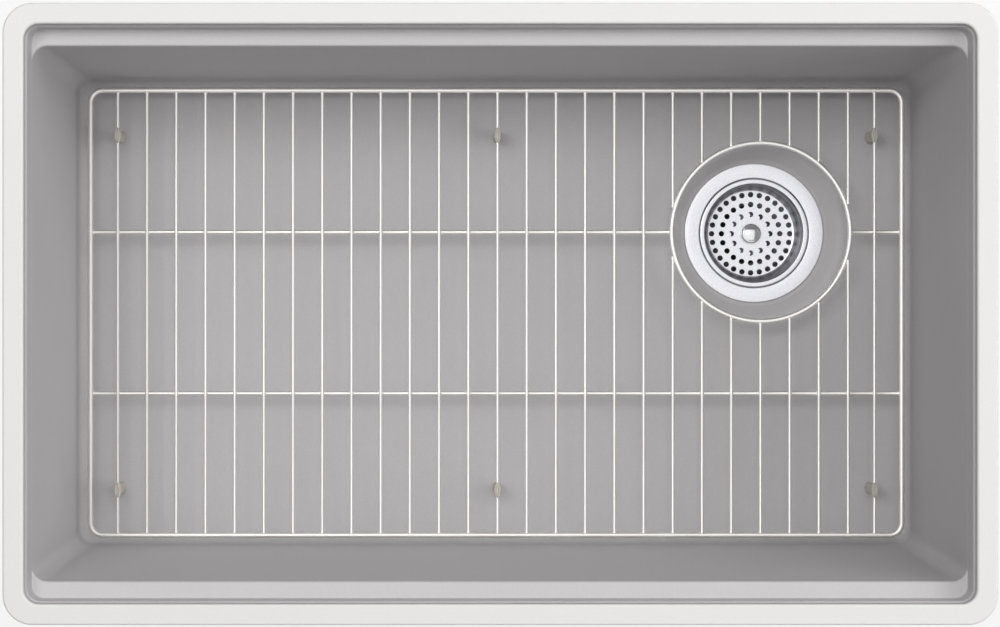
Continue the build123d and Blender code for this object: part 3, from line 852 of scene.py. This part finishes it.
foot_start = (foot_middle.x, foot_middle.y, foot_low.z)
foot = stretched("foot", foot_start, (0, 0, 1), foot_stations, foot_sides)
wire_place = (foot_middle.x, foot_middle.y, wire_height)
channel_ends = [(-channel_reach, channel_radius), (channel_reach, channel_radius)]
cut_with(foot, stretched("channel", wire_place, (0, 1, 0), channel_ends, cutter_sides))
bpy.ops.object.select_all(action="DESELECT")
bpy.ops.mesh.primitive_cube_add(size=MM, location=Vector(wire_place) * MM)
slit = open_mesh("slit")
bpy.ops.transform.resize(value=(slit_width, 2 * channel_reach, slit_height))
bpy.ops.transform.translate(value=(0, 0, slit_height / 2 * MM))
cut_with(foot, close_mesh(slit))
pocket_place = (foot_middle.x, foot_middle.y, foot_high.z)
pocket_ends = [(-pocket_depth, *pocket_radii), (pocket_overcut, *pocket_radii)]
cut_with(foot, stretched("pocket", pocket_place, (0, 0, 1), pocket_ends, cutter_sides))
print("first foot in mm:", [round(s / MM, 1) for s in foot.dimensions])

# %% [markdown]
# All six feet come out of one mould, so the foot is shaped once and copied. Each copy
# gets a mesh of its own with its place in it, so that a foot can be looked at, moved or
# exported alone.

# %% Copy the foot to its six places
foot_smooth_angle = 35
foot = open_mesh("foot")
close_mesh(foot, foot_smooth_angle)
for name in foot_names:
    low, high = box_mm(name)
    bpy.ops.object.select_all(action="DESELECT")
    foot.select_set(True)
    bpy.context.view_layer.objects.active = foot
    bpy.ops.object.duplicate()
    copy = bpy.context.object
    copy.location = ((low + high) / 2 - foot_middle) * MM
    bpy.ops.object.transform_apply(location=True, rotation=False, scale=False)
    copy.name = name.replace("grid_foot", "rubber_foot")
    finish_piece(copy, foot_rubber, "grid", "foot_rubber", name)
bpy.data.objects.remove(foot)
print("feet:", len(foot_names), "height in mm:", round(foot_height, 2))

# %% [markdown]
# The strainer body is pressed from one disc of steel: a flat flange with a soft outer
# edge, a step that the basket sits in, a deep throat, and a cone that ends in a spud. It
# is a turned piece, so one profile goes round its whole wall, inside and outside.

# %% Press the strainer body
round_sides = 128
drain_mm = tuple(d / MM for d in drain)
flange_low, flange_high = box_mm("strainer_body")
flange_top = flange_high.z
flange_radius = (flange_high.x - flange_low.x) / 2
seal_top = box_mm("flange_seal")[1].z
seat_radius = 45.4
seat_height = flange_top - 2.2
throat_radius = 42.0
throat_foot = -268.1
outlet_height = -276.1
outlet_radius = 19.5
outlet_flat = 6.5
spud_foot = flange_low.z
spud_root = 23.2
spud_top = outlet_height - 3.0
thread_root = 43.4
thread_gap_above = 2.5
thread_gap_below = 1.0
step_wall = 1.4
edge_round = 0.5
lip_round = 0.5
throat_round = 0.6
strainer_profile = [
    (flange_radius, seal_top),
    *rounded((flange_radius - edge_round, flange_top - edge_round), 0, 90, edge_round),
    *rounded((seat_radius + lip_round, flange_top - lip_round), 90, 180, lip_round),
    (seat_radius, seat_height),
    *rounded((throat_radius + throat_round, seat_height - throat_round), 90, 180, throat_round),
    (throat_radius, throat_foot),
    (outlet_radius + outlet_flat, outlet_height),
    (outlet_radius, outlet_height),
    (outlet_radius, spud_foot),
    (spud_root, spud_foot),
    (spud_root, spud_top),
    (thread_root, throat_foot - thread_gap_below),
    (thread_root, seat_height - thread_gap_above),
    (seat_radius + step_wall, seat_height - step_wall),
    (seat_radius + step_wall, seal_top),
]
strainer = turned("strainer", drain_mm, strainer_profile, round_sides)
finish_piece(strainer, strainer_steel, "sink", "strainer_steel", "strainer_body")
print("strainer in mm:", [round(s / MM, 1) for s in strainer.dimensions])

# %% [markdown]
# The threads on the throat and on the spud hold the lock nut and the coupling nut. They
# are rolled into the sheet. A bump in the material would leave their outline smooth, so
# each is a small diamond of edges that a screw modifier winds up round the axis, and it
# stands on the body as a piece of its own.

# %% Roll the threads
thread_depth = 0.58
thread_steps = 48
thread_smooth_angle = 30
threads = {
    "throat_thread": (thread_root, 2.0, -267.6, -246.0),
    "spud_thread": (spud_root, 2.2, -296.2, -279.5),
}


def thread(name, root, pitch, bottom, top):
    """A screw thread: a small diamond of edges wound up round the drain's axis."""
    bpy.ops.object.select_all(action="DESELECT")
    bpy.ops.mesh.primitive_circle_add(
        vertices=4,
        radius=thread_depth * MM,
        location=(*drain, bottom * MM),
        rotation=(quarter_turn, 0, 0),
    )
    piece = open_mesh(name)
    bpy.ops.transform.translate(value=(root * MM, 0, 0))
    bpy.ops.object.mode_set(mode="OBJECT")
    bpy.ops.object.transform_apply(location=False, rotation=True, scale=False)
    screw = piece.modifiers.new("screw", "SCREW")
    screw.axis = "Z"
    screw.screw_offset = pitch * MM
    screw.iterations = int((top - bottom) / pitch)
    screw.steps = thread_steps
    screw.render_steps = thread_steps
    bpy.ops.object.modifier_apply(modifier=screw.name)
    piece = open_mesh(name)
    bpy.ops.mesh.fill_holes(sides=0)
    return close_mesh(piece, thread_smooth_angle)


for name, (root, pitch, bottom, top) in threads.items():
    piece = thread(name, root, pitch, bottom, top)
    finish_piece(piece, strainer_steel, "sink", "strainer_steel")
    print(name, "in mm:", [round(s / MM, 1) for s in piece.dimensions])

# %% [markdown]
# The basket is pressed from thinner sheet. Its rim is rolled over, which is why it
# catches a bright line all round. It is turned like the body: the profile goes down the
# inside, round the stem's bore, and up again on the outside.

# %% Press the basket
basket_low, basket_high = box_mm("basket_cup")
rim_clearance = 0.2
rim_radius = (basket_high.x - basket_low.x) / 2 - rim_clearance
rim_top = basket_high.z
rim_foot = basket_low.z + 23.9
rim_sheet = 1.0
rim_round = 0.5
floor_sheet = 1.0
floor_top = basket_low.z + floor_sheet
floor_bore = 4.5
wall_lean = math.degrees(math.atan(3.8 / 25))
wall_foot_round = 2.0
wall_foot = (34.98, floor_top + wall_foot_round)
wall_head_round = 0.7
wall_head = (41.4, rim_top - wall_head_round)
under_head = (41.5, rim_top - 1.9)
under_rim_round = 0.6
under_rim = (42.1, rim_top - 1.6)
under_edge_round = 0.4
under_edge_drop = rim_sheet + under_edge_round
basket_profile = [
    (rim_radius, rim_foot),
    *rounded((rim_radius - rim_round, rim_top - rim_round), 0, 90, rim_round),
    *rounded(wall_head, 90, 180 - wall_lean, wall_head_round),
    *rounded(wall_foot, -wall_lean, -90, wall_foot_round),
    (floor_bore, floor_top),
    (floor_bore, basket_low.z),
    *rounded(wall_foot, -90, -wall_lean, wall_foot_round + floor_sheet),
    under_head,
    *rounded(under_rim, 180, 90, under_rim_round),
    *rounded(
        (rim_radius - under_edge_drop, rim_top - under_edge_drop), 90, 0, under_edge_round
    ),
    (rim_radius - rim_sheet, rim_foot),
]
basket = turned("basket", drain_mm, basket_profile, round_sides)
print("basket in mm:", [round(s / MM, 1) for s in basket.dimensions])

# %% [markdown]
# The floor's holes are punched in three rings, all in one stroke. One cutter made of
# sixty pins does the same here, which is quicker than sixty cuts and leaves clean edges.

# %% Punch the basket's holes
hole_radius = 2.3
hole_rings = ((32.6, 28), (24.35, 20), (16.1, 12))
pin_reach = 3
pin_sides = 24
basket_smooth_angle = 35
pin_ends = [(-pin_reach, hole_radius), (pin_reach, hole_radius)]
pins = []
for reach, count in hole_rings:
    for index in range(count):
        angle = quarter_turn + 2 * math.pi * index / count
        across = drain_mm[0] + reach * math.cos(angle)
        along = drain_mm[1] + reach * math.sin(angle)
        place = (across, along, floor_top)
        pins.append(stretched("pin", place, (0, 0, 1), pin_ends, pin_sides))
cut_with(basket, joined(pins, "pins"))
basket = open_mesh("basket")
close_mesh(basket, basket_smooth_angle)
finish_piece(basket, basket_steel, "basket", "strainer_steel", "basket_cup")
print("holes:", len(pins), "basket's points:", len(basket.data.vertices))

# %% [markdown]
# The knob is turned from brass and plated. A narrow waist gives the fingertips a hold
# under its edge. Its shoulder is turned with a small radius and its top is a low dome, so
# that the dome mirrors the light above it and the shoulder shows as a dark ring.

# %% Turn the knob
knob_low, knob_high = box_mm("basket_knob")
knob_radius = (knob_high.x - knob_low.x) / 2
knob_height = knob_high.z - knob_low.z
knob_sides = 96
waist_stations = [(0, 6.6), (0.3, 6.9), (1.2, 7.3)]
widest_height = 2.2
widest_round = (0.4, 0.15)
shoulder_round = 1.6
shoulder_turn = 78
shoulder_steps = 8
dome_rise = 1.9
dome_steps = 10
shoulder_middle = (knob_radius - shoulder_round, knob_height - dome_rise - shoulder_round)
knob_stations = waist_stations + [
    (widest_height - widest_round[0], knob_radius - widest_round[1]),
    (widest_height, knob_radius),
]
for radius, height in rounded(
    shoulder_middle, 0, shoulder_turn, shoulder_round, shoulder_steps
):
    knob_stations.append((height, radius))
dome_foot, dome_radius = knob_stations[-1]
for step in range(1, dome_steps):
    inwards = step / dome_steps
    rise = (knob_height - dome_foot) * (1 - (1 - inwards) ** 2)
    knob_stations.append((dome_foot + rise, dome_radius * (1 - inwards)))
knob_place = (*drain_mm, knob_low.z)
knob = stretched("knob", knob_place, (0, 0, 1), knob_stations, knob_sides)
finish_piece(knob, chrome, "stopper", "polished_steel", "basket_knob")
print("knob in mm:", [round(s / MM, 2) for s in knob.dimensions])

# %% [markdown]
# The last step measures the finished model and prints its size.

# %% Measure the finished model
low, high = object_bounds()
print("visual size in mm:", [round(s / MM, 1) for s in high - low])
